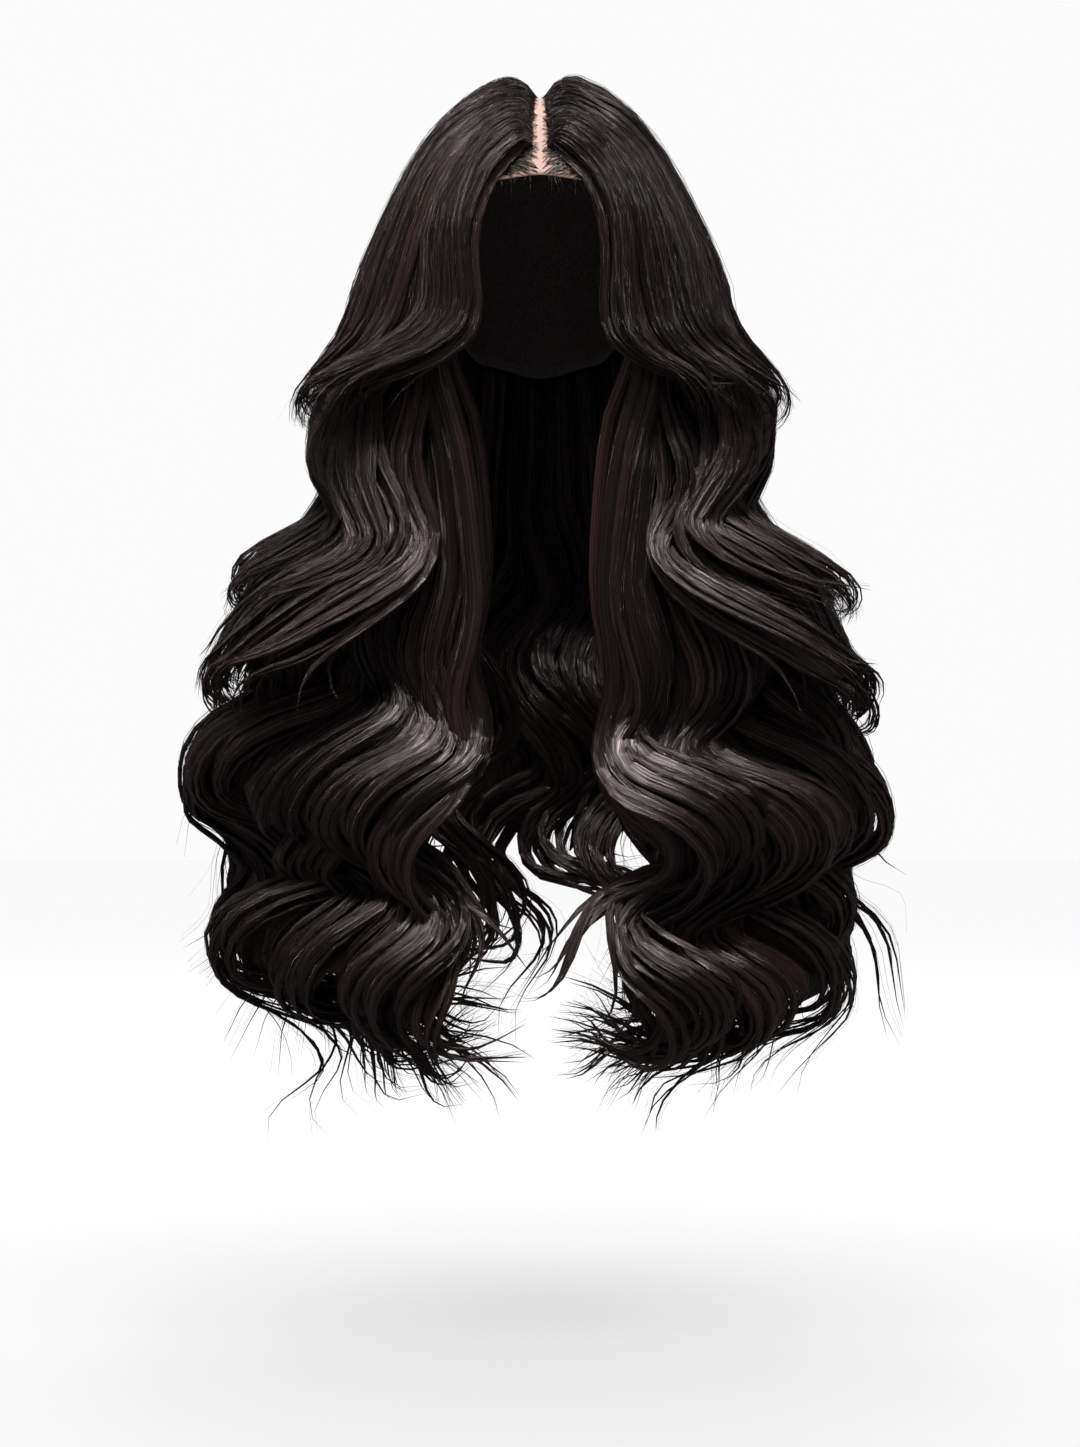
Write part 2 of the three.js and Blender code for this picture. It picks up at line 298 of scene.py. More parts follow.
def flow(layer, side, share, along, phase=0, swing=1):
    """The middle surface of a layer at shares of its width and length; phase and swing vary its waves."""
    row = at_station(layer["rows"], along)
    inner, outer = row[..., 0:3], row[..., 3:6]
    bulge, wave, sag = row[..., 6], row[..., 7], row[..., 8]
    across = outer - inner
    points = inner + across * share[..., None]
    arch = np.sin(np.pi * share)
    away = unit(np.stack([across[..., 1], -across[..., 0]], axis=-1))
    away *= np.where((away * points[..., :2]).sum(axis=-1, keepdims=True) < 0, -1, 1)
    points[..., :2] += away * (bulge * arch)[..., None]
    points[..., 2] -= sag * arch
    turn = 2 * np.pi * (layer["wave_slant"] * share - points[..., 2] - WAVE_IN) / WAVE_PITCH + phase
    spread = layer["inner_swing"] + (layer["outer_swing"] - layer["inner_swing"]) * share + WAVE_ARCH * arch
    reach = wave * swing * side["swing"] * spread
    points[..., 0] -= reach * np.cos(turn)
    points[..., 1] += layer["turn"] * reach * np.sin(turn)
    points[..., 2] -= WAVE_ROUND * wave * swing * np.sin(2 * turn)
    points = rest_on_cap(points, CAP_WALL + GAP + layer["lift"] * smooth(along, 0, LIFT_RUN))
    waves = smooth(-points[..., 2], *WAVES)
    points[..., 0] *= side["sign"] * (1 + (side["reach"] - 1) * waves)
    points[..., 2] -= side["lag"] * waves * (1 - smooth(along, *LAG_FADES))
    return points


def follow(layer, side, share, depth, along, ahead=0, phase=0, swing=1):
    """Where hair lies at a share of a layer's width, a depth in it and a share of its length."""
    def lie(share, along):
        return flow(layer, side, share, along, phase, swing)

    runs = smooth(along, *RUNS_AHEAD) * (1 - smooth(along, *FALLS_IN))
    points = lie(share, np.clip(along + ahead * runs, 0, 1))
    points[..., 2] = lie(share, along)[..., 2]
    across = unit(lie(share + NUDGE, along) - lie(share - NUDGE, along))
    down = unit(lie(share, np.minimum(1, along + NUDGE)) - lie(share, np.maximum(0, along - NUDGE)))
    out = unit(np.cross(across, down) * -side["sign"])
    crest = layer["crest"] * down[..., 0] * np.sign(points[..., 0]) * smooth(along, *CREST_RUN)
    rise = layer["thickness"] / 2 * depth * smooth(along, 0, ROOT_RUN) + crest
    return points + out * rise[..., None], across, out


def ease(paths):
    """Rounds the sharp turns of finely laid paths."""
    for _ in range(EASING):
        paths[:, 1:-1] = (paths[:, :-2] + 2 * paths[:, 1:-1] + paths[:, 2:]) / 4
    return paths


def settle(points, t, *fields):
    """Picks points along finely laid paths, closest where a path bends most, and the fields there."""
    paths = fields[0]
    steps = np.diff(paths, axis=1)
    lengths = np.linalg.norm(steps, axis=-1)
    ways = steps / np.maximum(lengths, 1e-9)[..., None]
    bends = np.arccos(np.clip((ways[:, 1:] * ways[:, :-1]).sum(axis=-1), -1, 1))
    costs = lengths + BEND_COST * np.pad(bends, ((0, 0), (0, 1)))
    spent = np.pad(np.cumsum(costs, axis=1), ((0, 0), (1, 0)))
    wanted = np.linspace(0, 1, points)
    fine = np.arange(paths.shape[1])
    place = np.array([np.interp(wanted * row[-1], row, fine) for row in spent])
    first = np.minimum(place.astype(int), paths.shape[1] - 2)[..., None]
    rest = place[..., None] - first
    picked = []
    for field in fields:
        before = np.take_along_axis(field, first, axis=1)
        after = np.take_along_axis(field, first + 1, axis=1)
        picked.append(before * (1 - rest) + after * rest)
    return np.interp(place, fine, t[0]), *picked


def turn_tips(paths, t, start, angle, sign):
    """Turns the last stretch of each strand down and in, seen from the front, by an angle of its own."""
    steps = np.diff(paths, axis=1)
    turn = (-sign * angle * smooth(t, start, 1) ** CURL_POWER)[:, 1:]
    sideways = steps[..., 0] * np.cos(turn) - steps[..., 2] * np.sin(turn)
    steps[..., 2] = steps[..., 0] * np.sin(turn) + steps[..., 2] * np.cos(turn)
    steps[..., 0] = sideways
    return np.concatenate([paths[:, :1], paths[:, :1] + np.cumsum(steps, axis=1)], axis=1)


def hold_in(paths):
    """Keeps hair that swings out past the widest waves close to them."""
    past = np.maximum(0, np.abs(paths[..., 0]) - WIDEST)
    paths[..., 0] -= np.sign(paths[..., 0]) * (past - STRAYS_PAST * np.tanh(past / STRAYS_PAST))
    return paths


def within(share):
    """Folds shares that run past an edge of a layer back into it."""
    return np.clip(1 - np.abs(1 - np.abs(share)), EDGE_KEPT, 1 - EDGE_KEPT)


# The bodies of the locks. Tresses differ most from one another, and the locks in a tress less.
TRESSES_VARY = {"depth": 0.25, "phase": 0.55, "swing": 0.12, "tone": (0.05, 0.6)}
LOCKS_VARY = {
    "share": 0.35, "curl": 0.25, "depth": 0.25, "ahead": 0.003, "phase": 0.15, "tone": 0.1,
    "wide": (0.8, 1.2), "deep": (0.8, 1.15),
}
CURLS = (-0.2, 1.2)
STRAIGHT_IS_SHORTER = 0.04
TOP_SWING = 1.15
UNDER_SWING = 0.85
LIGHTEST_LOCK = 0.75
TRESS_HOLD = 0.6
TRESS_RUN = (0.55, 1)
DEPTH_SPAN = 0.75
DEPTH_SET = -0.15
ROUNDEST = 1.5
LOCK_TIP = (0.6, 1)
LOCK_TIP_POWER = 1.3
LOCK_ROOT = (0.4, 0.2)
LOCK_ROOT_DEEP = 0.5
LOCK_DEEPENS = 0.22
LOCK_CLEAR = 0.4
THINNEST = 0.05


def part_locks(layer, side, rng):
    """Deals a layer out in tresses of locks: where each lies, its length, its waves and its tone."""
    locks, tresses, abreast = layer["locks"], layer["tresses"], layer["abreast"]
    apart = LOCKS_VARY["share"]
    share = (np.arange(locks) % abreast + 0.5 + rng.uniform(-apart, apart, locks)) / abreast
    rank = np.arange(locks) // abreast
    ranks = rank.max()
    tress = np.floor(share * tresses + 0.5 * rank).astype(int)
    which = tress + rank * (tresses + ranks + 1)
    count = which.max() + 1
    both_sides = layer["rows"][0][0] < 0
    sign = np.where(share < 0.5, -1, 1) if both_sides else side["sign"]
    curl = np.clip(rng.uniform(0, 1, count)[which] + rng.normal(0, LOCKS_VARY["curl"], locks), *CURLS)
    curl += layer["turned_in"]
    depth = 1 - 2 * rank / max(1, ranks) + rng.normal(0, TRESSES_VARY["depth"], count)[which]
    depth += rng.uniform(-LOCKS_VARY["depth"], LOCKS_VARY["depth"], locks)
    length = rng.uniform(layer["shortest"], 1, count)[which] - STRAIGHT_IS_SHORTER * np.clip(1 - curl, 0, 1)
    length -= rng.uniform(0, layer["uneven"], locks)
    ahead = rng.normal(0, layer["ahead"], count)[which] + rng.normal(0, LOCKS_VARY["ahead"], locks)
    phase = rng.normal(0, TRESSES_VARY["phase"], count)[which] + rng.normal(0, LOCKS_VARY["phase"], locks)
    swing = np.where(rank == 0, TOP_SWING, UNDER_SWING) + rng.normal(0, TRESSES_VARY["swing"], count)[which]
    tone = rng.uniform(*TRESSES_VARY["tone"], count)[which] + rng.normal(0, LOCKS_VARY["tone"], locks)
    return {
        "share": share,
        "middle": (tress - 0.5 * rank + 0.5) / tresses,
        "depth": depth,
        "length": length,
        "ahead": ahead,
        "phase": phase,
        "swing": swing,
        "tone": np.clip(tone, 0, LIGHTEST_LOCK),
        "curl": curl * layer["curl"],
        "sign": sign * np.ones(locks),
    }


def draw_together(own, share, run):
    """Draws hair in to the middle of its tress on the way to the tips."""
    return share + (own["middle"] - share) * TRESS_HOLD * smooth(run, *TRESS_RUN)


def tress_depth(layer, own, share):
    """How deep in its layer hair lies: a tress is rounded, so its edges lie deeper than its middle."""
    bend = np.minimum(ROUNDEST, ((share - own["middle"]) * 2 * layer["tresses"]) ** 2)
    return own["depth"] * DEPTH_SPAN + DEPTH_SET - layer["round"] * bend


def fill_out(t, root, run):
    """Widens hair from a share at its root to its full width a run further down."""
    return root + (1 - root) * smooth(t, 0, run)


def grow_locks(layer, side, dealt, rng):
    """The full body of each lock: a flattened tube that narrows to its tip."""
    t = np.linspace(0, 1, FINE)[None, :]
    own = {key: values[:, None] for key, values in dealt.items()}
    alone = own["share"].shape
    along = t * own["length"] * layer["body"]
    share = draw_together(own, own["share"], t)
    paths, _, out = follow(
        layer, side, within(share), tress_depth(layer, own, share), along,
        own["ahead"], own["phase"], own["swing"])
    paths = ease(turn_tips(paths, t, layer["curl_from"], own["curl"], own["sign"]))
    t, paths, out = settle(layer["points"], t, paths, out)
    tip = 1 - smooth(t, *LOCK_TIP) ** LOCK_TIP_POWER
    wide = layer["lock_wide"] * fill_out(t, *LOCK_ROOT) * tip * rng.uniform(*LOCKS_VARY["wide"], alone)
    deep = (LOCK_ROOT_DEEP + layer["lock_deep"] * smooth(t, 0, LOCK_DEEPENS)) * tip
    deep *= rng.uniform(*LOCKS_VARY["deep"], alone)
    paths = rest_on_cap(hold_in(paths), CAP_WALL + LOCK_CLEAR + deep)
    return paths, np.maximum(wide, THINNEST), np.maximum(deep, THINNEST), out, t, dealt["tone"]


# The wisps and strands over the locks: they spread at the roots, gather to the tips, and frizz a little.
WISPS = 4
WISPS_VARY = {
    "aside": 0.1, "above": 0.15, "length": 0.02, "ahead": 0.3, "phase": 0.13, "curl": 0.13, "tone": 0.08,
    "wide": (0.7, 1.25),
}
WISPS_SPREAD = 1.1
WISP_ROOT = (0.35, 0.18)
WISP_TIP = (0.75, 1)
WISP_TIP_POWER = 0.7
WISP_DEEP = 0.45
STRANDS_VARY = {
    "share": 0.2, "depth": 0.25, "length": 0.02, "root": 0.8, "foot": 2, "curl": 0.4, "radius": (0.55, 1.15),
    "tone": 0.08,
}
STRAND_WIDE = 1.5
STRAND_LIGHTER = 0.08
STRAND_ROOT = (0.75, 0.12)
STRAND_TIP = (0.75, 1)
STRAND_THINS = 0.75
STRAY_REACH = 2.4
STRAY_FINE = 0.6
STRAY_LEAVES = (0, 0.6)
STRAY_RUN = 0.35
GATHER = 0.8
WISP_GATHERS = (0.4, 1)
STRAND_GATHERS = (0.2, 0.95)
ROOTS_SPREAD = (0.02, 0.4)
LOCK_ROUND = 2.4
FRIZZ_OF_WISP = 0.4
FRIZZ_OF_STRAND = 0.6
FRIZZ_AT_ROOT = 0.2
FRIZZ_TO_TIP = 1.1
FRIZZ_TURNS = (0.9, 1.9, 3.4)
FRIZZ_RATE = (0.75, 1.25)
FRIZZ_FADE = 0.7
HAIR_CLEAR = 0.3


def part_wisps(layer, dealt, rng):
    """Splits each lock into wisps, which lie and wave almost as it does."""
    gap = 1 / layer["abreast"]
    count = layer["locks"] * WISPS
    vary = WISPS_VARY
    wisps = {key: np.repeat(values, WISPS) for key, values in dealt.items()}
    aside = (np.arange(count) % WISPS + 0.5) / WISPS - 0.5 + rng.normal(0, vary["aside"], count)
    wisps["aside"] = aside * WISPS_SPREAD * gap
    wisps["above"] = rng.normal(0, vary["above"], count)
    wisps["length"] = wisps["length"] * (1 - np.abs(rng.normal(0, vary["length"], count)))
    wisps["ahead"] = wisps["ahead"] + rng.normal(0, vary["ahead"] * layer["ahead"], count)
    wisps["phase"] = wisps["phase"] + rng.normal(0, vary["phase"], count)
    wisps["curl"] = wisps["curl"] + rng.normal(0, vary["curl"] * layer["curl"], count)
    wisps["tone"] = np.clip(wisps["tone"] + rng.normal(0, vary["tone"], count), 0, 1)
    return wisps


def lay_hair(layer, side, wisps, each, loose, rng):
    """Lays hair along each wisp. Loose hair spreads and frizzes a little, and some of it strays."""
    alone = (len(wisps["share"]) * each, 1)
    own = {key: np.repeat(values, each)[:, None] for key, values in wisps.items()}
    vary = STRANDS_VARY
    t = np.linspace(0, 1, FINE)[None, :]
    gap = 1 / layer["abreast"]
    astray = rng.uniform(size=alone) < layer["stray"] * loose
    farthest = np.where(astray, STRAY_REACH, 1)
    leaves = rng.uniform(*STRAY_LEAVES, alone)
    stray = 1 + (farthest - 1) * smooth(t, leaves, leaves + STRAY_RUN)
    hold_wisp = 1 - GATHER * smooth(t, *WISP_GATHERS)
    hold_own = 1 - GATHER * smooth(t, *STRAND_GATHERS)
    own_share = rng.normal(0, vary["share"] * gap, alone) * loose * stray
    own_depth = np.abs(rng.normal(0, vary["depth"], alone)) * loose * stray
    length = own["length"] * (1 - loose * np.abs(rng.normal(0, vary["length"], alone)))
    along = layer["start"] + t * (length - layer["start"])
    root = own["share"] + rng.uniform(-vary["root"], vary["root"], alone) * gap
    free = own["share"] + own["aside"] * hold_wisp + own_share * hold_own
    share = draw_together(own, root + (free - root) * smooth(along, *ROOTS_SPREAD), along)
    skin = layer["lock_deep"] / layer["thickness"] * 2 * (1 - LOCK_ROUND * (own["aside"] / gap) ** 2)
    depth = tress_depth(layer, own, share) + skin + own["above"] * hold_wisp + own_depth * hold_own
    paths, across, out = follow(
        layer, side, within(share), depth, along, own["ahead"], own["phase"], own["swing"])
    paths[..., 0] += rng.uniform(-vary["foot"], vary["foot"], alone) * (1 - smooth(along, 0, ROOT_RUN))
    curl = own["curl"] + np.where(astray, rng.normal(0, vary["curl"], alone), 0)
    paths = ease(turn_tips(paths, t, layer["curl_from"], curl, own["sign"]))
    t, paths, across, out = settle(layer["points"], t, paths, across, out)
    reach = layer["frizz"] * (FRIZZ_OF_WISP + FRIZZ_OF_STRAND * loose * farthest)
    reach = reach * (FRIZZ_AT_ROOT + FRIZZ_TO_TIP * t * t) * smooth(t, 0, 2 * ROOT_RUN)
    for direction in (across, out):
        for turns in FRIZZ_TURNS:
            start = rng.uniform(0, 2 * np.pi, alone)
            rate = turns * rng.uniform(*FRIZZ_RATE, alone)
            size = rng.normal(0, 1, alone) / turns ** FRIZZ_FADE
            paths += direction * (reach * size * np.sin(2 * np.pi * rate * t + start))[..., None]
    return hold_in(paths), out, t, own["tone"], astray


def grow_wisps(layer, side, wisps, rng):
    """Each wisp as a thin ribbon of hair that narrows to a point."""
    paths, out, t, tone, _ = lay_hair(layer, side, wisps, 1, 0, rng)
    tip = fill_out(t, *WISP_ROOT) * (1 - smooth(t, *WISP_TIP)) ** WISP_TIP_POWER
    wide = np.maximum(layer["wisp_wide"] * tip * rng.uniform(*WISPS_VARY["wide"], tone.shape), THINNEST)
    deep = WISP_DEEP * wide
    return rest_on_cap(paths, CAP_WALL + HAIR_CLEAR + deep), wide, deep, out, t, tone[:, 0]


def grow_strands(layer, side, wisps, rng):
    """Strands that run with the wisps."""
    paths, out, t, tone, astray = lay_hair(layer, side, wisps, layer["strands"], 1, rng)
    radius = layer["radius"] * rng.uniform(*STRANDS_VARY["radius"], tone.shape)
    radius = radius * np.where(astray, STRAY_FINE, 1)
    radius = radius * (fill_out(t, *STRAND_ROOT) - STRAND_THINS * smooth(t, *STRAND_TIP))
    tone = np.clip(tone + STRAND_LIGHTER + rng.normal(0, STRANDS_VARY["tone"], tone.shape), 0, 1)
    return rest_on_cap(paths, CAP_WALL + HAIR_CLEAR), STRAND_WIDE * radius, radius, out, t, tone[:, 0]


# The weft, the meshes and the fibre of all the hair. A mesh's map has the tone across and the length along.
LOCK_SIDES = 8
WISP_SIDES = 5
STRAND_SIDES = 3
LOCK_TONES = 0.25
WISP_TONES = 0.12
STRAND_TONES = 0.02
WEFT_WALL = 1.6
WEFT_INSET = 0.04
WEFT_RAGGED = 0.03
WEFT_FLUTE = 0.25
FLUTES_DRIFT = 1.5
FLUTES_VARY = 9
WEFT_SET = -0.3
FIBRE_MAP = "OFBake"
FIBRE_STRETCH = (90, 1.6, 1)
FIBRE_RELIEF = 0.0014
HAIR_TONES = [
    (0.3, (0.0018, 0.0011, 0.001)),
    (0.53, (0.0062, 0.0036, 0.0033)),
    (0.74, (0.025, 0.014, 0.012)),
]
WARM_TIPS = (0.011, 0.0052, 0.0042)


def weft_mesh(name, layer, side, rng):
    """The close body of a layer inside its locks: one sheet, fluted and ragged at its hem."""
    sheet = bmesh.new()
    columns = layer["abreast"] * 2
    bmesh.ops.create_grid(sheet, x_segments=columns, y_segments=layer["points"], size=0.5)
    place = np.array([corner.co[:2] for corner in sheet.verts]) + 0.5
    ragged = np.interp(place[:, 0], np.linspace(0, 1, columns + 1), rng.uniform(-1, 1, columns + 1))
    share = WEFT_INSET + (1 - 2 * WEFT_INSET) * place[:, 0]
    along = place[:, 1] * (layer["hem"] + WEFT_RAGGED * ragged)
    flute = np.sin(np.pi * layer["abreast"] * share + FLUTES_DRIFT * np.sin(FLUTES_VARY * share))
    points, _, _ = follow(layer, side, share, WEFT_FLUTE * flute + WEFT_SET, along)
    points = rest_on_cap(points, CAP_WALL + LOCK_CLEAR)
    tones = {}
    for corner, point, tone in zip(sheet.verts, points, place):
        corner.co = point * MM
        tones[corner] = tone
    uv = sheet.loops.layers.uv.new(FIBRE_MAP)
    for face in sheet.faces:
        face.smooth = True
        for loop in face.loops:
            loop[uv].uv = tones[loop.vert]
    if side["sign"] > 0:
        bmesh.ops.reverse_faces(sheet, faces=sheet.faces)
    mesh = bpy.data.meshes.new(name)
    sheet.to_mesh(mesh)
    sheet.free()
    return mesh


def hair_mesh(name, sides, tone_run, paths, wide, deep, out, t, tone):
    """Joins hair into one mesh of tubes, closed at both ends."""
    count, points = wide.shape
    down = unit(np.gradient(paths, axis=1))
    across = unit(np.cross(down, out))
    out = np.cross(across, down)
    angles = 2 * np.pi * np.arange(sides) / sides + np.pi / 2
    ring = across[:, :, None] * (wide[..., None] * np.cos(angles))[..., None]
    ring += out[:, :, None] * (deep[..., None] * np.sin(angles))[..., None]
    corners = (paths[:, :, None] + ring) * MM
    index = np.arange(count * points * sides).reshape(count, points, sides)
    after = np.roll(index, -1, axis=2)
    walls = np.stack([index[:, :-1], index[:, 1:], after[:, 1:], after[:, :-1]], axis=-1).reshape(-1, 4)
    ends = np.vstack([index[:, 0], index[:, -1, ::-1]])
    loops = np.concatenate([walls.ravel(), ends.ravel()])
    starts = np.concatenate([np.arange(len(walls)) * 4, len(walls) * 4 + np.arange(len(ends)) * sides])
    turn = tone[:, None, None, None] + tone_run * (np.arange(sides)[:, None] + [0, 0, 1, 1]) / sides
    turn = np.broadcast_to(turn, (count, points - 1, sides, 4)).ravel()
    turn = np.concatenate([turn, np.repeat(np.concatenate([tone, tone]), sides)])
    length = np.broadcast_to(t[:, :, None], index.shape).ravel()
    mesh = bpy.data.meshes.new(name)
    mesh.vertices.add(corners.size // 3)
    mesh.vertices.foreach_set("co", corners.ravel())
    mesh.loops.add(len(loops))
    mesh.loops.foreach_set("vertex_index", loops.astype(np.int32))
    mesh.polygons.add(len(starts))
    mesh.polygons.foreach_set("loop_start", starts.astype(np.int32))
    mesh.polygons.foreach_set("use_smooth", np.ones(len(starts), bool))
    uv = mesh.uv_layers.new(name=FIBRE_MAP)
    uv.data.foreach_set("uv", np.stack([turn, length[loops]], axis=-1).ravel().astype(np.float32))
    mesh.update(calc_edges=True)
    return mesh


def hair_finish(name):
    """Brown-black fibre with a soft sheen, in tones that change from lock to lock and warm to the tips."""
    material, tree, shader = finish_of(name, 0.3)
    shader.inputs["Specular IOR Level"].default_value = 0.7
    shader.inputs["Specular Tint"].default_value = (1, 0.87, 0.85, 1)
    shader.inputs["Anisotropic"].default_value = 0.8
    grain = tree.nodes.new("ShaderNodeTangent")
    grain.direction_type = "UV_MAP"
    grain.uv_map = FIBRE_MAP
    fibre = tree.nodes.new("ShaderNodeUVMap")
    fibre.uv_map = FIBRE_MAP
    stretch = socketed(tree, "ShaderNodeMapping", Scale=FIBRE_STRETCH)
    streaks = socketed(tree, "ShaderNodeTexNoise", Scale=1, Detail=4, Roughness=0.7)
    streaks.noise_dimensions = "2D"
    run = tree.nodes.new("ShaderNodeSeparateXYZ")
    shade = socketed(tree, "ShaderNodeMapRange", From_Min=0, From_Max=0.8, To_Min=-0.1, To_Max=0.12)
    shaded = tree.nodes.new("ShaderNodeMath")
    tone = tree.nodes.new("ShaderNodeValToRGB")
    tone.color_ramp.elements.new(0.5)
    for element, (place, colour) in zip(tone.color_ramp.elements, HAIR_TONES):
        element.position = place
        element.color = (*colour, 1)
    tips = socketed(tree, "ShaderNodeMapRange", From_Min=0.62, From_Max=1, To_Min=0, To_Max=0.55)
    warmed = tree.nodes.new("ShaderNodeMix")
    warmed.data_type = "RGBA"
    warmed.inputs["B"].default_value = (*WARM_TIPS, 1)
    gloss = socketed(tree, "ShaderNodeMapRange", From_Min=0.36, From_Max=0.66, To_Min=0.35, To_Max=0.15)
    relief = socketed(tree, "ShaderNodeBump", Strength=1, Distance=FIBRE_RELIEF)
    link = tree.links.new
    link(grain.outputs["Tangent"], shader.inputs["Tangent"])
    link(fibre.outputs["UV"], stretch.inputs["Vector"])
    link(fibre.outputs["UV"], run.inputs["Vector"])
    link(stretch.outputs["Vector"], streaks.inputs["Vector"])
    link(run.outputs["X"], shade.inputs["Value"])
    link(streaks.outputs["Fac"], shaded.inputs[0])
    link(shade.outputs["Result"], shaded.inputs[1])
    link(shaded.outputs["Value"], tone.inputs["Fac"])
    link(run.outputs["Y"], tips.inputs["Value"])
    link(tips.outputs["Result"], warmed.inputs["Factor"])
    link(tone.outputs["Color"], warmed.inputs["A"])
    link(warmed.outputs["Result"], shader.inputs["Base Color"])
    link(streaks.outputs["Fac"], gloss.inputs["Value"])
    link(gloss.outputs["Result"], shader.inputs["Roughness"])
    link(streaks.outputs["Fac"], relief.inputs["Height"])
    link(relief.outputs["Normal"], shader.inputs["Normal"])
    return material


def dress(node, layer, side, seed):
    """Dresses one layer of the solid model in the bodies of its locks, wisps and strands, over a weft."""
    rng = np.random.default_rng(seed)
    dealt = part_locks(layer, side, rng)
    locks = hair_mesh(node + "_locks", LOCK_SIDES, LOCK_TONES, *grow_locks(layer, side, dealt, rng))
    split = part_wisps(layer, dealt, rng)
    wisps = hair_mesh(node + "_wisps", WISP_SIDES, WISP_TONES, *grow_wisps(layer, side, split, rng))
    fine = grow_strands(layer, side, split, rng)
    strands = hair_mesh(node + "_strands", STRAND_SIDES, STRAND_TONES, *fine)
    new_piece(node + "_locks", locks, dark_hair)
    new_piece(node + "_wisps", wisps, dark_hair)
    weft = new_piece(node + "_weft", weft_mesh(node + "_weft", layer, side, rng), dark_hair)
    body = weft.modifiers.new("body", "SOLIDIFY")
    body.thickness = WEFT_WALL * MM
    body.offset = 0
    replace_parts(new_piece(node + "_strands", strands, dark_hair), node)


def dress_both(layer, seed):
    """Dresses a layer that hangs on both sides of the parting."""
    for own_seed, (side_name, side) in enumerate(SIDES.items(), seed):
        dress(layer["name"] + "_" + side_name, layer, side, own_seed)


dark_hair = hair_finish("dark hair")
dress_both(FRINGE, 100)


# The hairline: single fine hairs knotted into the lace. Most are combed back and out, under the fringe, a
# few short ones hang free over the edge, and the roots along the parting lie out to both sides of it.
COMBED = 520
LOOSE = 28
ROOTS = 640
HAIRLINE_POINTS = 8
COMBED_FROM = 0.5
COMBED_OVER = 26
COMBED_BACK = 0.25
COMBED_SWEEP = (10, 26)
COMBED_RISE = (0.04, 0.12)
COMBED_RADIUS = 0.22
LOOSE_OVER = (3, 27)
LOOSE_EDGE = 0.995
LOOSE_HANG = (6, 17)
LOOSE_DRIFT = (-2, 8)
LOOSE_RADIUS = 0.13
HAIR_RADII = (0.7, 1.2)
HAIR_TONE = (0, 0.6)
LACE_CLEAR = 0.4
RISES_BY = 4
LOOSE_BOW = 2.5
ROOT_LENGTH = (9, 18)
ROOT_SLANT = (0.6, 0.15)
SLANT_FADES = 55
PARTING = (-50, 85)
PARTING_EDGE = 0.8
PARTING_SPREAD = 3.6


def grow_hairline(rng):
    """Single hairs over the front edge of the lace: the combed ones first, then the loose ones."""
    count = COMBED + LOOSE
    combed = np.arange(count) < COMBED
    loose = ~combed
    sign = rng.choice([-1, 1], count)
    loose_turn = rng.uniform(*LOOSE_OVER, count)
    start_turn = sign * np.where(loose, loose_turn, COMBED_FROM + COMBED_OVER * rng.uniform(0, 1, count))
    start_along = np.where(loose, LOOSE_EDGE, 1 - COMBED_BACK * rng.uniform(0, 1, count) ** 1.2)
    swept = sign * rng.uniform(*COMBED_SWEEP, count) * combed
    raised = rng.uniform(*COMBED_RISE, count) * combed
    t = np.linspace(0, 1, HAIRLINE_POINTS)
    turn = start_turn[:, None] + swept[:, None] * t
    along = start_along[:, None] - raised[:, None] * np.sin(np.pi * t / 1.6)
    rise = CAP_WALL + combed[:, None] * (LACE_CLEAR + RISES_BY * t)
    places = np.stack([turn, along, rise], axis=-1).reshape(-1, 3)
    paths = np.array([cap_point(*place) for place in places]).reshape(count, HAIRLINE_POINTS, 3) / MM
    hang = rng.uniform(*LOOSE_HANG, count) * loose
    drift = sign * rng.uniform(*LOOSE_DRIFT, count) * loose
    paths[..., 0] += drift[:, None] * t ** 2
    paths[..., 1] -= LOOSE_BOW * np.sin(np.pi * t) * loose[:, None]
    paths[..., 2] -= hang[:, None] * t ** 1.4
    radius = np.where(loose, LOOSE_RADIUS, COMBED_RADIUS)[:, None] * (1 - 0.7 * smooth(t, 0.5, 1))
    radius = radius * rng.uniform(*HAIR_RADII, (count, 1))
    out = unit(paths * [1, 1, 0] + [0, 0, 40])
    return paths, radius, radius, out, np.tile(t, (count, 1)), rng.uniform(*HAIR_TONE, count)


def grow_roots(rng):
    """Fine short hairs on both sides of the parting, combed out over the lace and in under the layers."""
    sign = rng.choice([-1, 1], (ROOTS, 1))
    t = np.linspace(0, 1, HAIRLINE_POINTS)[None, :]
    start = rng.uniform(*PARTING, (ROOTS, 1))
    length = rng.uniform(*ROOT_LENGTH, (ROOTS, 1))
    onward = rng.normal(*ROOT_SLANT, (ROOTS, 1)) * (1 - smooth(start, SLANT_FADES, PARTING[1]))
    foot = PARTING_EDGE + PARTING_SPREAD * rng.uniform(0, 1, (ROOTS, 1)) ** 0.8
    aside = sign * (foot + length * t)
    ahead = start + length * onward * t
    rise = CAP_WALL + LACE_CLEAR + RISES_BY * t ** 1.4
    level = np.sqrt(1 - (aside / (CAP_HALF_WIDTH + rise)) ** 2 - (ahead / (CAP_HALF_DEPTH + rise)) ** 2)
    paths = np.stack([aside, -ahead, level * (CROWN_RISE + rise) - CROWN_RISE], axis=-1)
    radius = COMBED_RADIUS * fill_out(t, 0.6, 0.4) * rng.uniform(*HAIR_RADII, (ROOTS, 1))
    out = unit(paths * [1, 1, 0] + [0, 0, 60])
    return paths, radius, radius, out, np.tile(t, (ROOTS, 1)), rng.uniform(*HAIR_TONE, ROOTS)


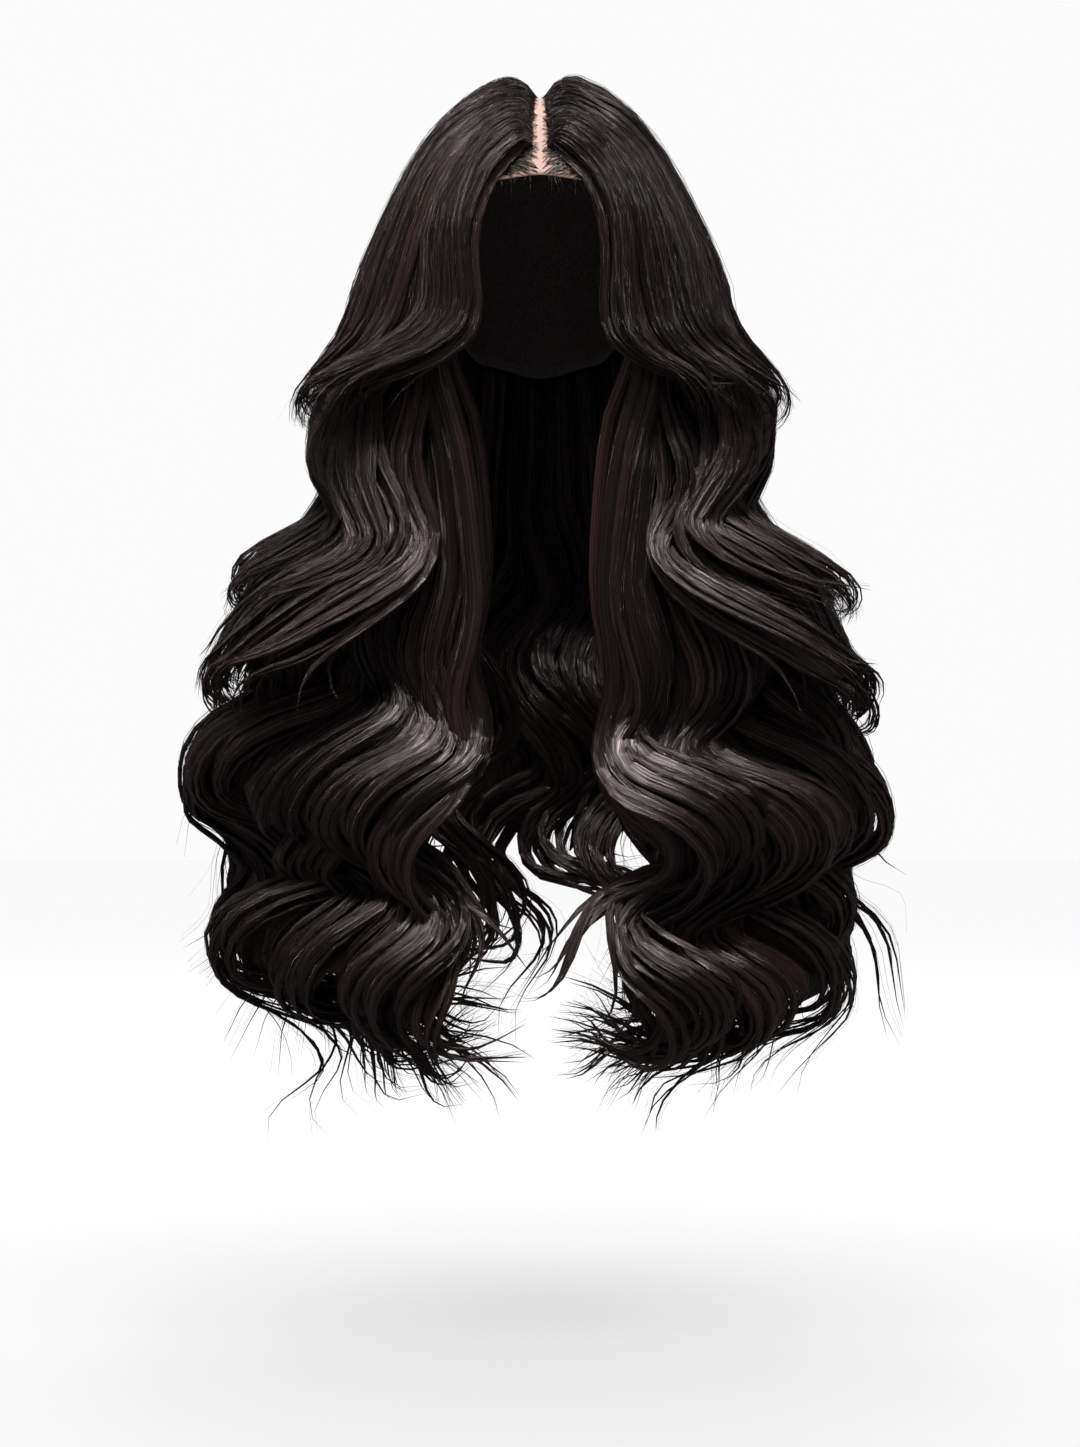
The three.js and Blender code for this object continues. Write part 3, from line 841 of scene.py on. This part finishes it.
for name, hairs in (("hairline", grow_hairline), ("roots", grow_roots)):
    mesh = hair_mesh(name, STRAND_SIDES, STRAND_TONES, *hairs(np.random.default_rng(150)))
    new_piece(name, mesh, dark_hair)


# The crown hair: it is knotted along the parting behind the fringe, falls over the temples and sides, and
# swings out and under at the level of the collar.
CROWN_ROWS = [
    [4.5, 40, 6, 1.2, -54, 16, 0, 0, 0],
    [28, 44, 5, 28, -60, 16, 2, 0, 0],
    [58, 46, 22, 62, -62, 40, 4, 0, 0],
    [86, 46, 70, 92, -60, 90, 6, 0, 0],
    [104, 48, 126, 113, -60, 140, 8, 2, 0],
    [104, 56, 186, 130, -57, 186, 12, 5, 0],
    [95, 68, 228, 136, -54, 222, 15, 8, 0],
    [88, 80, 264, 140, -51, 248, 17, 10, 0],
    [100, 87, 294, 160, -48, 268, 17, 9, 0],
    [131, 87, 311, 182, -45, 285, 14, 7, 0],
    [165, 80, 317, 194, -43, 303, 10, 5, 0],
    [188, 70, 328, 195, -43, 322, 6, 3, 0],
    [189, 64, 348, 188, -43, 342, 2, 0, 0],
]
CROWN = {
    "name": "crown", "rows": CROWN_ROWS, "lift": 10, "thickness": 10, "hem": 0.72, "points": 25,
    "wave_slant": 40, "inner_swing": 0.8, "outer_swing": 0.8, "turn": -0.15, "crest": 1.5,
    "tresses": 3, "locks": 24, "abreast": 12, "round": 0.5, "lock_wide": 7, "lock_deep": 2.6,
    "body": 0.88, "start": 0, "wisp_wide": 2.1, "strands": 3, "radius": 0.18, "frizz": 1.0, "stray": 0.08,
    "shortest": 0.92, "uneven": 0.14, "ahead": 0.016, "curl": 1.5, "curl_from": 0.8, "turned_in": 0.06,
}
dress_both(CROWN, 200)


# The middle layer: sewn to the cap above the ears, under the crown hair. It swings out to the widest point
# of the outline, and its tips turn down and under there.
MIDDLE_ROWS = [
    [62, 60, 82, 77, -34, 84, 0, 0, 0],
    [68, 60, 112, 84, -38, 112, 3, 0, 0],
    [72, 62, 160, 99, -40, 160, 6, 2, 0],
    [76, 66, 202, 112, -40, 208, 8, 5, 0],
    [73, 76, 246, 124, -40, 250, 9, 9, 0],
    [78, 88, 292, 148, -38, 288, 12, 12, 0],
    [102, 100, 330, 178, -34, 318, 16, 12, 0],
    [142, 105, 354, 202, -30, 344, 18, 10, 0],
    [183, 96, 364, 213, -28, 368, 14, 7, 0],
    [207, 82, 380, 211, -28, 394, 8, 4, 0],
    [206, 72, 410, 201, -28, 418, 3, 0, 0],
]
MIDDLE = {
    "name": "middle", "rows": MIDDLE_ROWS, "lift": 4, "thickness": 16, "hem": 0.72, "points": 22,
    "wave_slant": 50, "inner_swing": 0.8, "outer_swing": 0.8, "turn": -0.3, "crest": 6,
    "tresses": 3, "locks": 22, "abreast": 11, "round": 0.5, "lock_wide": 7.5, "lock_deep": 3.4,
    "body": 0.88, "start": 0.12, "wisp_wide": 2.4, "strands": 2, "radius": 0.19, "frizz": 1.1, "stray": 0.08,
    "shortest": 0.91, "uneven": 0.14, "ahead": 0.018, "curl": 1.5, "curl_from": 0.78, "turned_in": 0.06,
}
dress_both(MIDDLE, 300)


# The front lengths: the longest hair, sewn to the cap under the layers above. It hangs in front of the
# shoulders in wide S-waves, and its tips turn in at the hem.
LENGTH_ROWS = [
    [54, 72, 96, 76, -24, 100, 0, 0, 0],
    [58, 70, 132, 84, -28, 130, 2, 0, 0],
    [60, 66, 176, 100, -32, 172, 3, 0, 0],
    [47, 72, 232, 120, -34, 216, 4, 0, 0],
    [40, 78, 300, 144, -36, 260, 8, 2, 0],
    [41, 84, 352, 172, -38, 302, 12, 8, 0],
    [48, 90, 402, 192, -40, 350, 16, 22, 0],
    [60, 94, 450, 203, -40, 404, 20, 38, 0],
    [63, 94, 500, 216, -40, 454, 20, 38, 0],
    [62, 93, 545, 203, -40, 502, 18, 34, 0],
    [58, 91, 584, 188, -38, 552, 16, 26, 8],
    [52, 88, 628, 168, -36, 614, 10, 14, 20],
    [44, 85, 656, 146, -34, 652, 4, 4, 20],
]
LENGTH = {
    "name": "length", "rows": LENGTH_ROWS, "lift": 4, "thickness": 24, "hem": 0.8, "points": 40,
    "wave_slant": 55, "inner_swing": 0.5, "outer_swing": 0.3, "turn": -0.3, "crest": 9,
    "tresses": 4, "locks": 42, "abreast": 14, "round": 0.55, "lock_wide": 8.5, "lock_deep": 4.4,
    "body": 0.86, "start": 0.22, "wisp_wide": 2.8, "strands": 2, "radius": 0.2, "frizz": 1.2, "stray": 0.06,
    "shortest": 0.96, "uneven": 0.05, "ahead": 0.012, "curl": 1.4, "curl_from": 0.7, "turned_in": 0.2,
}
dress_both(LENGTH, 400)


# The back hair: one layer right across, sewn to the net from the crown to the nape. It falls down the back
# in slower waves and ends a little above the front lengths.
BACK_ROWS = [
    [-half_width, fwd, drop, half_width, fwd, drop, bulge, wave, sag]
    for half_width, fwd, drop, bulge, wave, sag in [
        [12, -48, 14, 4, 0, 0],
        [50, -46, 27, 32, 0, 0],
        [84, -38, 72, 66, 0, 0],
        [94, -34, 140, 82, 0, 0],
        [108, -30, 215, 85, 0, 0],
        [138, -26, 286, 88, 12, 0],
        [168, -24, 350, 87, 22, 0],
        [182, -22, 426, 88, 28, 0],
        [178, -24, 496, 85, 28, 0],
        [162, -26, 564, 86, 22, 0],
        [134, -28, 632, 82, 12, 26],
    ]
]
ACROSS = {"sign": -1, "lag": 3, "reach": 1, "swing": 1}
BACK = {
    "rows": BACK_ROWS, "lift": 2.5, "thickness": 18, "hem": 0.74, "points": 36,
    "wave_slant": 0, "inner_swing": 0.4, "outer_swing": 0.4, "turn": 0.36, "crest": 5,
    "tresses": 7, "locks": 48, "abreast": 24, "round": 0.5, "lock_wide": 9.5, "lock_deep": 4.6,
    "body": 0.86, "start": 0, "wisp_wide": 3.2, "strands": 2, "radius": 0.22, "frizz": 1.2, "stray": 0.08,
    "shortest": 0.94, "uneven": 0.04, "ahead": 0.012, "curl": 1.0, "curl_from": 0.7, "turned_in": 0,
}
dress("back", BACK, ACROSS, 500)


# The studio, in metres: a pale floor under a white surround, one wide soft light over the front that skips
# the floor, and fainter ones from each side and from behind. The camera stands level with the middle of the
# hair, straight in front of the parting.
FLOOR = -0.76
FLOOR_HALF = 6
FLOOR_WHITE = 0.985
SURROUND = 0.965
SURROUND_IN_GLOSS = 0.1
LIT_POINT = (0, 0, -0.3)
FRAME_HEIGHT = 0.897
VIEW_DISTANCE = 1.8
VIEW_PLANE = -0.03
VIEW_LEVEL = -0.391
SENSOR = 36
WHITE = (1, 1, 1, 1)

ground = bmesh.new()
bmesh.ops.create_grid(ground, x_segments=1, y_segments=1, size=FLOOR_HALF)
bmesh.ops.translate(ground, verts=ground.verts, vec=(0, 0, FLOOR))
ground_mesh = bpy.data.meshes.new("floor")
ground.to_mesh(ground_mesh)
ground.free()
floor = bpy.data.objects.new("floor", ground_mesh)
bpy.context.collection.objects.link(floor)
pale, _, pale_shader = finish_of("pale floor", 0.9)
pale_shader.inputs["Base Color"].default_value = (FLOOR_WHITE, FLOOR_WHITE, FLOOR_WHITE, 1)
pale_shader.inputs["Specular IOR Level"].default_value = 0
ground_mesh.materials.append(pale)
floor.visible_glossy = False

world = bpy.data.worlds.new("surround")
world.use_nodes = True
world.cycles.sampling_method = "NONE"
bpy.context.scene.world = world
sky = world.node_tree
surround = sky.nodes["Background"]
surround.inputs["Color"].default_value = WHITE
surround.inputs["Strength"].default_value = SURROUND
in_gloss = socketed(sky, "ShaderNodeBackground", Color=WHITE, Strength=SURROUND_IN_GLOSS)
seen = sky.nodes.new("ShaderNodeLightPath")
either = sky.nodes.new("ShaderNodeMixShader")
sky.links.new(seen.outputs["Is Glossy Ray"], either.inputs["Fac"])
sky.links.new(surround.outputs["Background"], either.inputs[1])
sky.links.new(in_gloss.outputs["Background"], either.inputs[2])
sky.links.new(either.outputs["Shader"], sky.nodes["World Output"].inputs["Surface"])


def soft_light(name, place, width, height, power):
    """A rectangular light that faces the middle of the hair."""
    data = bpy.data.lights.new(name, "AREA")
    data.shape = "RECTANGLE"
    data.size = width
    data.size_y = height
    data.energy = power
    light = bpy.data.objects.new(name, data)
    light.location = place
    aim = np.array(LIT_POINT) - np.array(place)
    tilt = math.acos(-aim[2] / np.linalg.norm(aim))
    light.rotation_euler = (tilt, 0, math.atan2(aim[1], aim[0]) - math.pi / 2)
    bpy.context.collection.objects.link(light)
    return light


on_hair = soft_light("over the front", (0, -1.3, 2.1), 1.3, 0.8, 132)
unlit = bpy.data.collections.new("beyond the front light")
on_hair.light_linking.receiver_collection = unlit
unlit.objects.link(floor)
unlit.collection_objects[0].light_linking.link_state = "EXCLUDE"
soft_light("left", (-1.3, -0.5, 1.3), 0.6, 0.6, 1.5)
soft_light("right", (1.3, -0.5, 1.3), 0.6, 0.6, 1.5)
soft_light("behind", (0, 1.5, 1.2), 1.6, 1.0, 6)

lens = bpy.data.cameras.new("camera")
lens.sensor_fit = "VERTICAL"
lens.sensor_height = SENSOR
lens.lens = SENSOR * VIEW_DISTANCE / FRAME_HEIGHT
camera = bpy.data.objects.new("camera", lens)
camera.location = (0, VIEW_PLANE - VIEW_DISTANCE, VIEW_LEVEL)
camera.rotation_euler = (math.pi / 2, 0, 0)
bpy.context.collection.objects.link(camera)
bpy.context.scene.camera = camera
bpy.context.scene.view_settings.view_transform = "Standard"
